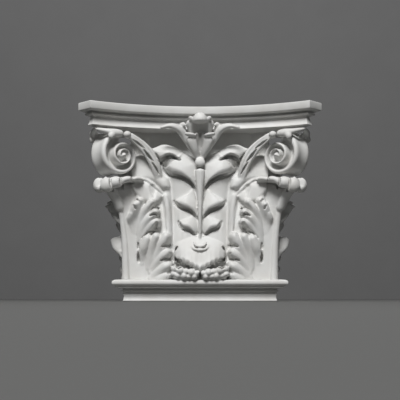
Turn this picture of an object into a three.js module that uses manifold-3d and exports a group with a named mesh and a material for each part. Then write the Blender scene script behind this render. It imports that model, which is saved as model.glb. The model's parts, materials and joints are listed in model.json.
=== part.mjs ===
// A Corinthian pilaster capital, cast in one piece: a concave-sided abacus with canted corners,
// a bell with an acanthus leaf at each corner, diagonal volutes, a central palmette on a stem,
// a curled lower leaf, a fleuron under the abacus and a moulded neck that sits on the shaft.
// Millimetres, +Z up, the front faces -Y, the back is the flat wall side. The origin is the
// centre of the underside.
import * as THREE from "three";
import { mergeVertices } from "three/addons/utils/BufferGeometryUtils.js";
import Module from "manifold-3d";

const wasm = await Module();
wasm.setup();

// Driving dimensions
const HEIGHT = 285;
const BACK_Y = 30; // the wall plane
const NECK_HALF_WIDTH = 115;
const NECK_FRONT_Y = -30;
const NECK_TOP_Z = 33; // where the leaves start
const ABACUS_HEIGHT = 31.5;
const ABACUS_RADIUS = 311; // of the concave front, equal to its chord
const ABACUS_TIP_Y = -90; // the front corners
const VOLUTE_RADIUS = 33;
const VOLUTE_CENTRE = new THREE.Vector3(114.7, -54.7, 213.7);
const VOLUTE_TURN = THREE.MathUtils.degToRad(35); // its face is turned this much from the front
const SHORTEST_EDGE = 0.35;
const WHITE = 0xe4e4e2;

// The corner's upright diagonal plane is x + y = DIAGONAL. The side of the capital is the front
// seen in that plane as in a mirror.
const DIAGONAL = NECK_HALF_WIDTH + NECK_FRONT_Y;
const TO_SIDE = new THREE.Matrix4().set(0, -1, 0, DIAGONAL, -1, 0, 0, DIAGONAL, 0, 0, 1, 0, 0, 0, 0, 1);
const TO_LEFT = new THREE.Matrix4().makeScale(-1, 1, 1);
const FRONT = new THREE.Vector3(0, -1, 0);

const vec = (x, y, z) => new THREE.Vector3(x, y, z);
const range = (n) => Array.from({ length: n }, (_, i) => i);
const { lerp, smoothstep } = THREE.MathUtils;

// A closed manifold solid from a three.js geometry, its faces pointing out.
function solid(geometry) {
  const bare = geometry.clone();
  bare.deleteAttribute("normal");
  bare.deleteAttribute("uv");
  const merged = mergeVertices(bare, 1e-3);
  const place = merged.attributes.position.array;
  const index = merged.index.array;
  let triangles = [];
  for (let i = 0; i < index.length; i += 3) {
    const [a, b, c] = [index[i], index[i + 1], index[i + 2]];
    if (a !== b && b !== c && c !== a) triangles.push([a, b, c]);
  }
  const corner = (i) => vec(place[3 * i], place[3 * i + 1], place[3 * i + 2]);
  const volume = triangles.reduce((sum, [a, b, c]) => sum + corner(a).dot(corner(b).cross(corner(c))), 0);
  if (volume < 0) triangles = triangles.map(([a, b, c]) => [a, c, b]);
  const mesh = new wasm.Mesh({
    numProp: 3,
    vertProperties: place,
    triVerts: new Uint32Array(triangles.flat()),
  });
  return new wasm.Manifold(mesh);
}

const mean = (points) => points.reduce((total, p) => total.add(p), vec(0, 0, 0)).divideScalar(points.length);

// A closed skin over rings with equal numbers of points, closed by a fan about a middle point at
// each end.
function loft(rings, middleOf = mean) {
  const n = rings[0].length;
  const points = rings.flat();
  const faces = [];
  for (let r = 0; r + 1 < rings.length; r++)
    for (let i = 0; i < n; i++) {
      const [a, b] = [r * n + i, r * n + ((i + 1) % n)];
      faces.push(a, b, b + n, a, b + n, a + n);
    }
  const close = (first, flip) => {
    const centre = points.length;
    points.push(middleOf(points.slice(first, first + n)));
    for (let i = 0; i < n; i++) {
      const [a, b] = [first + i, first + ((i + 1) % n)];
      if (flip) faces.push(centre, a, b);
      else faces.push(centre, b, a);
    }
  };
  const last = (rings.length - 1) * n;
  close(0, false);
  close(last, true);
  const geometry = new THREE.BufferGeometry().setFromPoints(points);
  geometry.setIndex(faces);
  return geometry;
}

// A curve through points given as [x, y, z].
const through = (points) => new THREE.CatmullRomCurve3(points.map((p) => vec(...p)));

// The directions across a curve and out of it at a share of its length. They follow the side
// direction where one is given, and lie flat in the front view where none is.
function frameAt(curve, share, side) {
  const at = curve.getPoint(share);
  const along = curve.getTangent(share);
  const across = side ? vec(...side) : along.clone().cross(FRONT);
  across.addScaledVector(along, -across.dot(along)).normalize();
  return { at, across, out: across.clone().cross(along).normalize() };
}

// A lobe of a leaf, like a boat: its face lies across a spine through the points given, cups
// towards its edges and ends in rounded fingers; its keel is sunk by the thickness.
function lobe(spine, half, { side, thick = 9, fingers = 2, waist = 0.45 } = {}) {
  const curve = through(spine);
  const [cup, notch, steps] = [2, 0.14, 4];
  const columns = Math.max(4, 2 * fingers);
  const rings = range(steps + 1).map((i) => {
    const face = range(columns + 1).map((j) => {
      const t = (2 * j) / columns - 1;
      const end = 1 - 0.2 * t * t - notch * (0.5 + 0.5 * Math.cos(Math.PI * fingers * (t + 1)));
      const share = (i / steps) * end;
      const { at, across, out } = frameAt(curve, share, side);
      const width = half * lerp(waist, 1, Math.sin(Math.min(1, share * 1.3) * Math.PI * 0.5));
      const lift = cup * t * t * Math.sin(Math.PI * Math.min(share, 0.8));
      return at.addScaledVector(across, width * t).addScaledVector(out, lift);
    });
    const { at, out } = frameAt(curve, (i / steps) * 0.94, side);
    return [...face, at.addScaledVector(out, -thick * (1 - 0.45 * (i / steps)))];
  });
  return loft(rings);
}

// A strand along a path. Its section is a ring of [across, out] points for a radius of one, and
// its half width and half depth change along the path.
function strand(path, halves, depths, { side, section = polygon(6), steps = 5 } = {}) {
  const curve = through(path);
  const pick = (list, share) => {
    const x = share * (list.length - 1);
    const i = Math.min(list.length - 2, Math.floor(x));
    return lerp(list[i], list[i + 1], x - i);
  };
  const rings = range(steps + 1).map((i) => {
    const share = i / steps;
    const { at, across, out } = frameAt(curve, share, side);
    const [half, depth] = [pick(halves, share), pick(depths, share)];
    const place = ([u, v]) => at.clone().addScaledVector(across, u * half).addScaledVector(out, v * depth);
    return section.map(place);
  });
  return loft(rings);
}

function polygon(sides) {
  const angles = range(sides).map((k) => (2 * Math.PI * (k + 0.5)) / sides);
  return angles.map((a) => [Math.cos(a), Math.sin(a)]);
}

// Three ribs with two grooves on the face, and a keel behind.
const HALF_FLUTED = [[1, 0.1], [0.75, 0.8], [0.42, 0.35]];
const FLUTED = [...HALF_FLUTED, [0, 1], ...HALF_FLUTED.map(([u, v]) => [-u, v]).reverse(), [0, -1]];

// The abacus's plan at an inset: the concave front between canted corners, then each side, the
// mirror image of the front in the corner's diagonal, cut by the wall.
function abacusPlan(inset, z) {
  const chordHalf = ABACUS_RADIUS / 2;
  const centreY = ABACUS_TIP_Y - ABACUS_RADIUS * Math.cos(Math.PI / 6);
  const radius = ABACUS_RADIUS + inset;
  const cant = chordHalf - ABACUS_TIP_Y - inset * Math.SQRT2; // x - y on the cant
  const b = cant + centreY;
  const tipX = (b + Math.sqrt(2 * radius * radius - b * b)) / 2;
  const onArc = (x) => centreY + Math.sqrt(radius * radius - x * x);
  const frontSteps = 10;
  const sideSteps = 2;
  const front = range(frontSteps + 1).map((i) => lerp(-tipX, tipX, i / frontSteps));
  const half = range(sideSteps + 1).map((i) => lerp(tipX, DIAGONAL - BACK_Y, i / sideSteps));
  const right = half.map((x) => [DIAGONAL - onArc(x), DIAGONAL - x]);
  const ring = [...front.map((x) => [x, onArc(x)]), ...right, ...right.map(([x, y]) => [-x, y]).reverse()];
  return ring.map(([x, y]) => vec(x, y, z));
}

// A stack of plans, each with its inset and its height, closed about the upright axis.
const stack = (plan, profile) =>
  loft(
    profile.map(([inset, z]) => plan(inset, z)),
    ([{ z }]) => vec(0, 0, z),
  );

// Fascia, ovolo, groove, fillet and cavetto, from the top down as inset and depth below the top.
function abacus() {
  const fascia = [[0, 0], [0, 12]];
  const ovolo = [[5, 14], [8.5, 14.6]];
  const groove = [[8.5, 16.8], [7.5, 17]];
  const fillet = [[7.5, 19.2], [11, 19.6]];
  const cavetto = [[12.9, 25], [11, ABACUS_HEIGHT]];
  const profile = [...fascia, ...ovolo, ...groove, ...fillet, ...cavetto];
  return stack(abacusPlan, profile.map(([inset, down]) => [inset, HEIGHT - down]));
}

// A rectangle in plan with the wall as its back, drawn in by an inset on the other sides.
function neckPlan(inset, z) {
  const x = NECK_HALF_WIDTH - inset;
  const y = NECK_FRONT_Y + inset;
  return [vec(-x, y, z), vec(x, y, z), vec(x, BACK_Y, z), vec(-x, BACK_Y, z)];
}

// The shaft's top with its cavetto, a fillet, and the torus on which the leaves stand.
function neck() {
  const cavetto = [[0, 0], [1.3, 4], [1.6, 8], [0.4, 11.5], [1.5, 13]];
  const fillet = [[-1.6, 13], [-1.6, 17.5], [0.5, 17.7], [0.5, 19.5]];
  const torus = [[-8, 20.2], [-13.5, 22], [-15, 24], [-15.4, 28], [-14.2, 31.5], [-11.5, NECK_TOP_Z]];
  return stack(neckPlan, [...cavetto, ...fillet, ...torus]);
}

// A value read along a list of [position, value] pairs.
function follow(pairs, position) {
  const next = pairs.findIndex(([p]) => p > position);
  const i = next < 1 ? pairs.length - 2 : next - 1;
  const [[p, u], [q, v]] = [pairs[i], pairs[i + 1]];
  return THREE.MathUtils.mapLinear(position, p, q, u, v);
}

// How far the corner stands out past the neck's corner on both faces, by height: the leaf leans
// out up to its roll, and above it the bell's round corner lies behind the volute.
const LEAF_OUT = [[31, -3], [85, -1.6], [113, 1], [135, 4.5], [149, 8], [165, 12]];
const CORNER_OUT = [...LEAF_OUT, [172, 8], [184, -10], [HEIGHT, -12]];

// The corner leaf's inner edge, as x by height.
const LEAF_EDGE = [[31, 44], [105, 46], [150, 62], [HEIGHT, 118]];

// The front of the bell and of the corner leaf's blade, before any relief.
function ground(x, z) {
  const out = follow(CORNER_OUT, z);
  const edge = follow(LEAF_EDGE, z);
  const bell = 23 + 4 * smoothstep(z, 130, 250);
  const leaf = 4 * smoothstep(x, edge - 5, edge + 5) * (1 - smoothstep(z, 166, 184));
  return lerp(bell + leaf, out - NECK_FRONT_Y, smoothstep(x, 74, NECK_HALF_WIDTH - 4 + out));
}

// The bell and the corner leaves' blades. Each level is a ring: along the left side, across the
// front and back along the right side, which is the mirror image of the front in the diagonal.
function body() {
  const sideStart = DIAGONAL - BACK_Y; // the front's x that the mirror puts on the wall
  const heights = [NECK_TOP_Z - 2, 70, 105, 130, 147, 162, 174, 185, 215, HEIGHT - 28];
  const rings = heights.map((z) => {
    const out = follow(CORNER_OUT, z);
    const tip = NECK_HALF_WIDTH + out;
    const rib = 12 - z / 25; // the round rib along the corner stands clear of the blade
    const facing = [0, sideStart, 75, 90, tip - rib, tip - rib + 1.5].map((x) => [x, ground(x, z)]);
    facing[4][1] -= 3; // the crease beside the rib
    const turned = facing.slice(1).reverse().map(([x, f]) => [DIAGONAL + f, x - DIAGONAL]);
    const right = [...facing, [tip, tip - DIAGONAL], ...turned];
    const left = right.slice(1).map(([x, f]) => [-x, f]).reverse();
    return [...left, ...right].map(([x, f]) => vec(x, -f, z));
  });
  return loft(rings);
}

// A finger of a leaf: a round ridge on the ground along a path of [x, z].
function finger({ path, half, rise }) {
  const spine = path.map(([x, z], i) => {
    const share = i / (path.length - 1);
    return [x, 0.75 * lerp(...half, share) - ground(x, z) - lerp(...rise, share), z];
  });
  const halves = [half[0], lerp(...half, 0.5), half[1], 0.55 * half[1]];
  return strand(spine, halves, halves.map((h) => 0.75 * h + 1), { section: polygon(5), steps: 3 });
}

// A petal: a wedge on the ground whose front edge is its lower edge, along a path of [x, z], and
// which falls back to the ground over its reach above that edge.
function petal({ path, reach, rise }) {
  const curve = new THREE.SplineCurve(path.map(([x, z]) => new THREE.Vector2(x, z)));
  const steps = 5;
  const root = -0.8; // how far it is sunk into the ground, as a share of its rise
  const rings = range(steps + 1).map((i) => {
    const share = i / steps;
    const edge = curve.getPoint(share);
    const along = curve.getTangent(share);
    const up = new THREE.Vector2(along.y, -along.x);
    return [[0, 0.6], [0.3, 1], [0.75, 0.8], [1, 0], [1, root], [0, root]].map(([u, v]) => {
      const [x, z] = edge.clone().addScaledVector(up, u * lerp(...reach, share)).toArray();
      return vec(x, -ground(x, z) - v * lerp(...rise, share), z);
    });
  });
  return loft(rings);
}

// The relief on the right half of the front, with places as [x, z].
const WALL_FINGERS = [
  // those that the wall would cut off on the side
  { path: [[68, 30], [59, 46], [45, 54]], half: [8, 7], rise: [4, 11] },
  { path: [[70, 46], [60, 65], [45, 75]], half: [7, 6], rise: [4, 13] },
  { path: [[72, 50], [64, 76], [54, 97]], half: [9, 9], rise: [5, 14] },
];
const LEAF_FINGERS = [
  // lowest lobe of the corner leaf
  { path: [[86, 58], [84, 76], [76, 94]], half: [7, 7], rise: [4, 12] },
  // middle lobe
  { path: [[87, 83], [80, 107], [65, 120]], half: [6, 6], rise: [4, 12] },
  { path: [[90, 88], [82, 124], [66, 140]], half: [7, 8], rise: [4, 14] },
  { path: [[97, 90], [98, 117], [92, 142]], half: [6, 8], rise: [3, 11] },
  // highest lobe
  { path: [[97, 135], [94, 153], [88, 170]], half: [8, 9], rise: [5, 15] },
];
const CALYX_FINGERS = [
  { path: [[47, 88], [48, 128], [51, 160]], half: [4, 5], rise: [4, 5] },
  { path: [[53, 158], [66, 175], [86, 185]], half: [5, 8], rise: [5, 12] },
];
const PETALS = [
  { path: [[34, 117], [22, 113], [9, 103], [4, 93]], reach: [10, 5], rise: [7, 3] },
  { path: [[38, 147], [22, 144], [9, 130], [4, 116]], reach: [13, 6], rise: [9, 3] },
  { path: [[54, 200], [40, 197], [22, 189], [10, 163], [4, 141]], reach: [11, 8], rise: [14, 5] },
  { path: [[72, 221], [60, 211], [46, 215], [28, 211], [6, 196]], reach: [9, 15], rise: [12, 8] },
];

// The top of a corner leaf, which rolls over: one lobe on the diagonal and some beside it.
function leafRoll() {
  const tip = [[116, -31, 125], [122, -37, 150], [129, -44, 170], [139, -54, 177], [141, -56, 164]];
  const beside = [
    [[95, -30, 140], [94, -36, 160], [91, -43, 173], [88, -49, 170]],
    [[106, -33, 138], [107, -38, 158], [110, -48, 175], [113, -54, 168]],
    [[114, -34, 130], [118, -40, 156], [125, -51, 176], [129, -57, 168]],
  ];
  const halves = [6, 9, 9, 7];
  const depths = [6, 6, 6, 5];
  const section = polygon(5);
  const facing = { side: [1, -0.3, 0], section, steps: 3 };
  const lobes = beside.map((path) => strand(path, halves, depths, facing));
  return [strand(tip, [8, 10, 10, 7], depths, { side: [1, 1, 0], section, steps: 5 }), ...lobes];
}

// A volute: a spiral band on each of two faces, mirror images in the diagonal plane, and the
// thick rim between them. The band starts at the top, goes outwards and down, and winds in to
// the eye. Its section is a flat rim, a dished channel and the wall up to the next turn.
function volute() {
  const turnRatio = 0.498; // the radius after a full turn, as a share
  const startRadius = VOLUTE_RADIUS / Math.pow(turnRatio, 0.25);
  const perTurn = 12;
  const steps = Math.round(2.25 * perTurn);
  const across = [[1, 0], [0.91, 0], [0.82, -4.2], [0.56, -3.6]]; // share of the radius, rise
  const outward = vec(Math.cos(VOLUTE_TURN), -Math.sin(VOLUTE_TURN), 0);
  const normal = vec(-Math.sin(VOLUTE_TURN), -Math.cos(VOLUTE_TURN), 0);
  const swell = (r) => 7 * Math.pow(Math.max(0, 1 - r / VOLUTE_RADIUS), 1.6);
  const at = (r, a, rise) =>
    VOLUTE_CENTRE.clone()
      .addScaledVector(outward, r * Math.sin(a))
      .addScaledVector(vec(0, 0, 1), r * Math.cos(a))
      .addScaledVector(normal, swell(r) + rise);
  const points = [];
  for (let i = 0; i <= steps; i++) {
    const r = startRadius * Math.pow(turnRatio, i / perTurn);
    for (const [share, rise] of across) points.push(at(r * share, (2 * Math.PI * i) / perTurn, rise));
  }
  const eye = points.push(at(0, 0, 3)) - 1;
  const id = (i, j) => i * across.length + j;
  const faces = [];
  const quad = (a, b, c, d) => faces.push(a, b, c, a, c, d);
  for (let i = 0; i < steps; i++) {
    for (let j = 0; j < 3; j++) quad(id(i, j), id(i, j + 1), id(i + 1, j + 1), id(i + 1, j));
    if (i + perTurn < steps) quad(id(i, 3), id(i + perTurn, 0), id(i + perTurn + 1, 0), id(i + 1, 3));
  }
  const inner = range(perTurn + 1).map((i) => id(steps - perTurn + i, 3));
  const hub = [...inner, id(steps, 2), id(steps, 1), id(steps, 0)];
  hub.forEach((p, i) => faces.push(eye, hub[(i + 1) % hub.length], p));
  const outline = [...range(perTurn + 1).map((i) => id(i, 0)), id(0, 3), id(0, 2), id(0, 1)];
  const count = points.length;
  for (const p of points.slice()) points.push(p.clone().applyMatrix4(TO_SIDE));
  for (const i of range(faces.length / 3)) {
    const [a, b, c] = faces.slice(3 * i, 3 * i + 3);
    faces.push(a + count, c + count, b + count);
  }
  outline.forEach((p, i) => {
    const next = outline[(i + 1) % outline.length];
    quad(p, next, next + count, p + count);
  });
  const geometry = new THREE.BufferGeometry().setFromPoints(points);
  geometry.setIndex(faces);
  return geometry;
}

// The helix: a fluted stalk that climbs from the bell to the volute.
function helix() {
  const path = [[55, -24, 158], [62, -31, 192], [73, -36, 213], [88, -45, 231], [103, -56, 244]];
  return strand(path, [4, 6.5, 8.5, 8.5, 6], [6, 7, 8, 8, 7], { section: FLUTED, steps: 5 });
}

// The small leaf between the volute and the abacus.
function hornLeaf() {
  const spine = [[100, -50, 243], [116, -61, 250], [130, -67, 249], [147, -73, 254]];
  return lobe(spine, 8, { side: [0, 0, 1], thick: 10, waist: 0.8 });
}

const ball = () => new THREE.SphereGeometry(6, 8, 5).translate(106, -61, 242);

// The stem with its bead, and the tie at its foot.
function stem() {
  const spine = [[0, -25, 88], [0, -30, 140], [0, -33, 196]];
  const shaft = strand(spine, [2, 3.5, 7], [4, 5, 6], { steps: 3 });
  const bead = new THREE.SphereGeometry(7, 8, 5).scale(1, 1, 1.1).translate(0, -36, 206);
  const tie = new THREE.SphereGeometry(11, 8, 5).scale(1, 0.8, 0.8).translate(0, -45, 86);
  return [shaft, bead, tie];
}

// The lower leaf in the middle. Its section, as [front, z], climbs from the neck, rolls forward
// and hangs in front of a hollow; across the leaf the roll is drawn in and its edge is scalloped.
function lowerLeaf() {
  const halfWidth = 41;
  const outside = [[20, 31], [31, 60], [38, 80], [48, 91], [58, 86], [62, 72]];
  const tip = [[60, 50], [54, 54]];
  const inside = [[50, 70], [32, 60], [30, 31]];
  const stations = 10;
  const rings = range(stations + 1).map((i) => {
    const t = (2 * i) / stations - 1;
    const full = Math.sqrt(1 - 0.75 * t * t);
    const scallop = 2 * Math.cos(3 * Math.PI * t);
    const place = ([front, z]) => vec(halfWidth * t, -lerp(24, front, full), z * lerp(0.95, 1, full));
    const hang = tip.map(([front, z]) => place([front, z + 14 * t * t - scallop]));
    return [...outside.map(place), ...hang, ...inside.map(place)];
  });
  return loft(rings);
}

// The fleuron: a bud with a rolled tip, and leaves that spread from it under the abacus.
function fleuron() {
  const spine = [[0, -26, 206], [0, -42, 224], [0, -54, 250], [0, -60, 262]];
  const bud = strand(spine, [4, 12, 15, 10], [4, 8, 8, 8], { side: [1, 0, 0], steps: 3 });
  const knob = new THREE.SphereGeometry(9, 8, 5).scale(1.1, 1, 0.85).translate(0, -62, 267);
  const veins = [[0, -26, 208], [16, -38, 232], [30, -46, 254], [57, -51, 253]];
  const wing = lobe(veins, 9, { side: [0.3, 0, -1], fingers: 1 });
  return [bud, knob, wing, wing.clone().applyMatrix4(TO_LEFT)];
}

const union = (solids) => solids.reduce((whole, next) => whole.add(next));

function capital() {
  const [tip, ...roll] = leafRoll();
  const bothFaces = [helix(), hornLeaf(), ...roll, ...LEAF_FINGERS.map(finger)];
  const fingers = [...WALL_FINGERS, ...CALYX_FINGERS].map(finger);
  const frontOnly = [...fingers, ...PETALS.map(petal), ball()];
  const turned = bothFaces.map((g) => g.clone().applyMatrix4(TO_SIDE));
  const right = [...bothFaces, ...turned, ...frontOnly, tip, volute()];
  const left = right.map((g) => g.clone().applyMatrix4(TO_LEFT));
  const middle = [body(), abacus(), neck(), ...stem(), lowerLeaf(), ...fleuron()];
  const whole = union([...middle, ...right, ...left].map((g) => solid(g)));
  const room = new THREE.BoxGeometry(500, 300, HEIGHT).translate(0, BACK_Y - 150, HEIGHT / 2);
  return whole.intersect(solid(room));
}

// Closes up edges shorter than the length given, where that leaves the skin closed and no
// triangle turned over. A corner on one of the flat outer faces stays where it is.
function closeShortEdges({ vertProperties, triVerts }, shortest) {
  const points = range(vertProperties.length / 3).map((i) => vec(...vertProperties.slice(3 * i, 3 * i + 3)));
  const triangles = range(triVerts.length / 3).map((i) => [...triVerts.slice(3 * i, 3 * i + 3)]);
  const around = points.map(() => new Set());
  triangles.forEach((triangle, i) => triangle.forEach((p) => around[p].add(i)));
  const neighbours = (p) => new Set([...around[p]].flatMap((i) => triangles[i]).filter((q) => q !== p));
  const flatFaces = (p) => [points[p].z, HEIGHT - points[p].z, BACK_Y - points[p].y].filter((gap) => gap < 1e-4).length;
  const normal = ([a, b, c]) => points[b].clone().sub(points[a]).cross(points[c].clone().sub(points[a]));
  const turnsOver = (i, kept, gone) => {
    const moved = triangles[i].map((p) => (p === gone ? kept : p));
    const [before, after] = [normal(triangles[i]), normal(moved)];
    return before.dot(after) < 0.5 * before.length() * after.length() || after.length() < 1e-6;
  };
  const closeUp = (a, b) => {
    const [kept, gone] = flatFaces(b) > flatFaces(a) ? [b, a] : [a, b];
    if (flatFaces(gone) > 0 && flatFaces(kept) !== flatFaces(gone)) return false;
    const shared = [...neighbours(kept)].filter((p) => neighbours(gone).has(p));
    const moving = [...around[gone]].filter((i) => !triangles[i].includes(kept));
    if (shared.length !== 2 || moving.some((i) => turnsOver(i, kept, gone))) return false;
    for (const i of around[gone]) {
      if (triangles[i].includes(kept)) {
        for (const p of triangles[i]) if (p !== gone) around[p].delete(i);
        triangles[i] = [];
      } else {
        triangles[i] = triangles[i].map((p) => (p === gone ? kept : p));
        around[kept].add(i);
      }
    }
    around[gone].clear();
    return true;
  };
  for (let closed = true; closed; ) {
    closed = false;
    for (const triangle of triangles.slice()) {
      const edge = range(triangle.length).map((k) => [triangle[k], triangle[(k + 1) % 3]]);
      const short = edge.find(([a, b]) => points[a].distanceTo(points[b]) < shortest);
      if (short && around[short[0]].size && around[short[1]].size && neighbours(short[0]).has(short[1]))
        closed = closeUp(...short) || closed;
    }
  }
  const geometry = new THREE.BufferGeometry().setFromPoints(points);
  geometry.setIndex(triangles.flat());
  geometry.computeVertexNormals();
  return geometry;
}

const geometry = closeShortEdges(capital().getMesh(), SHORTEST_EDGE);
const primed = new THREE.MeshStandardMaterial({ color: WHITE, roughness: 0.7, metalness: 0 });
const mesh = new THREE.Mesh(geometry, primed);
mesh.name = "capital";
const group = new THREE.Group();
group.add(mesh);
export default group;
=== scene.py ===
# %% [markdown]
# A Corinthian pilaster capital
#
# The real thing is one casting: white, matt, rigid foam with a primed skin, poured in a rubber
# mould. All its carving is one surface, so it is one piece here. Its leaves and petals are relief
# on one body. Its volutes, stalks and rolled tips are closed shapes that overlap the body, and all
# are then melted into one skin. The crisp mouldings above and below are joined on last.

# %% Load the frame
import json
import math

import bmesh
import bpy
import numpy as np
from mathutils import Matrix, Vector

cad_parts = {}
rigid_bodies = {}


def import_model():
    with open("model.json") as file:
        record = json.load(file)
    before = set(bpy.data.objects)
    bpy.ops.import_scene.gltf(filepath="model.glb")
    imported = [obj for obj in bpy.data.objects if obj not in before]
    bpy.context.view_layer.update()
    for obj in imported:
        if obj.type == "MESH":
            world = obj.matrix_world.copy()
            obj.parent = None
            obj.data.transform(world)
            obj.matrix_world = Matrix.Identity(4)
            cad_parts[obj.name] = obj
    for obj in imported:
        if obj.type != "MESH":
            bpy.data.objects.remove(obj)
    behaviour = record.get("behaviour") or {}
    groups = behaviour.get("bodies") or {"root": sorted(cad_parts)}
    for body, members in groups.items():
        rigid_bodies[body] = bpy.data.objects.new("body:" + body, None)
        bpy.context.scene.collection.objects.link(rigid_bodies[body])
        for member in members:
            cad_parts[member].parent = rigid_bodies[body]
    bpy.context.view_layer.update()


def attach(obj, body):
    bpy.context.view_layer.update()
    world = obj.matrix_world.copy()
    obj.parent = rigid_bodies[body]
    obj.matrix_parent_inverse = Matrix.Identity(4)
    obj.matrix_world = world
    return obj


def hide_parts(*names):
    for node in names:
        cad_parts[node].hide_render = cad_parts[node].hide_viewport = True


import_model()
bpy.ops.object.select_all(action="DESELECT")

# %% [markdown]
# The camera
#
# The picture was taken from straight in front, with the lens level and just above the height of
# the foot, so the upper parts are seen from below. Tilting the camera up would make the uprights
# lean together. The frame is shifted up instead, which keeps them parallel. The distance follows
# from how much larger the near parts look, and the height from where the horizon crosses the neck.

# %% Camera
MM = 0.001
PHOTO_SIZE = 400  # pixels, both ways
EYE_DISTANCE = 1203.6  # from the front corners of the abacus
EYE_HEIGHT = 5.95
FRONT_WIDTH = 566.4  # what the picture spans at the front corners
HORIZON_BELOW_MIDDLE = 97  # pixels
FRONT_CORNERS_Y = -90
SENSOR = 36

bpy.ops.object.camera_add(
    location=(0, (FRONT_CORNERS_Y - EYE_DISTANCE) * MM, EYE_HEIGHT * MM),
    rotation=(math.radians(90), 0, 0),
)
camera = bpy.context.object
camera.name = "camera"
camera.data.sensor_width = SENSOR
camera.data.lens = SENSOR * EYE_DISTANCE / FRONT_WIDTH
camera.data.shift_y = HORIZON_BELOW_MIDDLE / PHOTO_SIZE
camera.data.clip_start = 0.01
bpy.context.scene.camera = camera
print("lens", round(camera.data.lens, 1), "mm")

# %% [markdown]
# Sizes
#
# Everything is in millimetres here and becomes metres when a mesh is made. The capital is
# symmetrical, and its side is the front seen in a mirror that stands upright on the diagonal of
# the corner, so only the right half of the front has to be drawn.

# %% Sizes
HEIGHT = 285
BACK = 30  # y of the wall
HALF_NECK = 115
NECK_FRONT = -30
NECK_TOP = 33
ABACUS_RADIUS = 311
DIAGONAL = 85  # x + y on the corner's diagonal


def to_side(points):
    """Mirrors points in the corner's upright diagonal plane."""
    turned = np.array(points, float)
    x, y = turned[..., 0].copy(), turned[..., 1].copy()
    turned[..., 0], turned[..., 1] = DIAGONAL - y, DIAGONAL - x
    return turned


def to_left(points):
    """Mirrors points in the middle plane of the front."""
    flipped = np.array(points, float)
    flipped[..., 0] *= -1
    return flipped


print("the front's", (60, -50), "is", to_side([60, -50]).tolist(), "on the side")

# %% [markdown]
# Three helpers for curves
#
# A carver draws a few points and joins them by eye. The spline does the same: it passes through
# every point, and any further numbers in a row, such as a width, change smoothly along with it.
# A Bezier curve would do too, but its handles would double the numbers to draw.

# %% Curves
def spline(rows, count):
    """A smooth curve through the rows, as `count` rows."""
    rows = np.array(rows, float)
    ends = np.vstack([2 * rows[0] - rows[1], rows, 2 * rows[-1] - rows[-2]])
    place = np.linspace(0, len(rows) - 1, count)
    i = np.minimum(place.astype(int), len(rows) - 2)
    t = (place - i)[:, None]
    a, b, c, d = ends[i], ends[i + 1], ends[i + 2], ends[i + 3]
    square = 2 * a - 5 * b + 4 * c - d
    cube = 3 * b - a - 3 * c + d
    return 0.5 * (2 * b + (c - a) * t + square * t**2 + cube * t**3)


def ease(low, high, x):
    """0 below low, 1 above high and smooth between them."""
    t = np.clip((x - low) / (high - low), 0, 1)
    return t * t * (3 - 2 * t)


def mix(a, b, share):
    """From a to b by a share."""
    return a + (b - a) * share


print("halfway between 0 and 10:", mix(0, 10, ease(0, 1, 0.5)))

# %% [markdown]
# Helpers that make closed shapes
#
# Leaves, stalks and mouldings are all a section carried along a way. Each section is a ring of
# points. Rings that follow one another are joined with quads and the two ends are closed. The
# primitives can't give such a shape, so it is built as mesh code.

# %% Closed shapes
clay = []  # the closed shapes that are melted together


def closed_piece(name, points, faces):
    """A closed mesh object from points in millimetres, with its faces pointing outwards."""
    mesh = bpy.data.meshes.new(name)
    mesh.from_pydata((points * MM).tolist(), [], faces)
    shell = bmesh.new()
    shell.from_mesh(mesh)
    bmesh.ops.remove_doubles(shell, verts=shell.verts, dist=1e-6)
    bmesh.ops.recalc_face_normals(shell, faces=shell.faces)
    shell.to_mesh(mesh)
    shell.free()
    piece = bpy.data.objects.new(name, mesh)
    bpy.context.scene.collection.objects.link(piece)
    return piece


def skin(name, rings):
    """A closed mesh object over rings with equal numbers of points."""
    rings = np.array(rings, float)
    count, n = rings.shape[:2]
    i, j = np.meshgrid(np.arange(count - 1), np.arange(n), indexing="ij")
    a, b = i * n + j, i * n + (j + 1) % n
    quads = np.stack([a, b, b + n, a + n], axis=-1).reshape(-1, 4).tolist()
    caps = [list(range(n))[::-1], list(range((count - 1) * n, count * n))]
    return closed_piece(name, rings.reshape(-1, 3), quads + caps)


def everywhere(name, rings, side=True, left=True):
    """Skins the rings and their mirror images on the side and on the left."""
    places = [rings] + ([to_side(rings)] if side else [])
    places += [to_left(r) for r in places] if left else []
    for k, place in enumerate(places):
        clay.append(skin(f"{name}_{k}", place))
    print(f"{name}: {len(places)} of {len(clay[-1].data.vertices)} points")


# %% [markdown]
# A helper for stalks
#
# Stalks, ribs and rolled tips swell and taper along their length, and their ends are round. A
# bevelled curve would look like pipe, so the rings are worked out here: the depth can differ from
# the width, and the section can have ribs.

# %% Strand
FRONT = np.array([0, -1, 0.0])
SMALLEST_END = 0.02  # an end ring's share of the full size, so that it keeps an area


def frames(path, side):
    """Along, across and outward directions at each point of a path."""
    along = np.gradient(path, axis=0)
    along /= np.linalg.norm(along, axis=1)[:, None]
    if side is None:
        across = np.cross(along, FRONT)
    else:
        across = np.tile(np.array(side, float), (len(path), 1))
    across -= along * (across * along).sum(1)[:, None]
    across /= np.linalg.norm(across, axis=1)[:, None]
    return along, across, np.cross(across, along)


def oval(sides=20):
    """A round section of radius 1."""
    a = np.linspace(0, 2 * math.pi, sides, endpoint=False)
    return np.stack([np.cos(a), np.sin(a)], axis=1)


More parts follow.
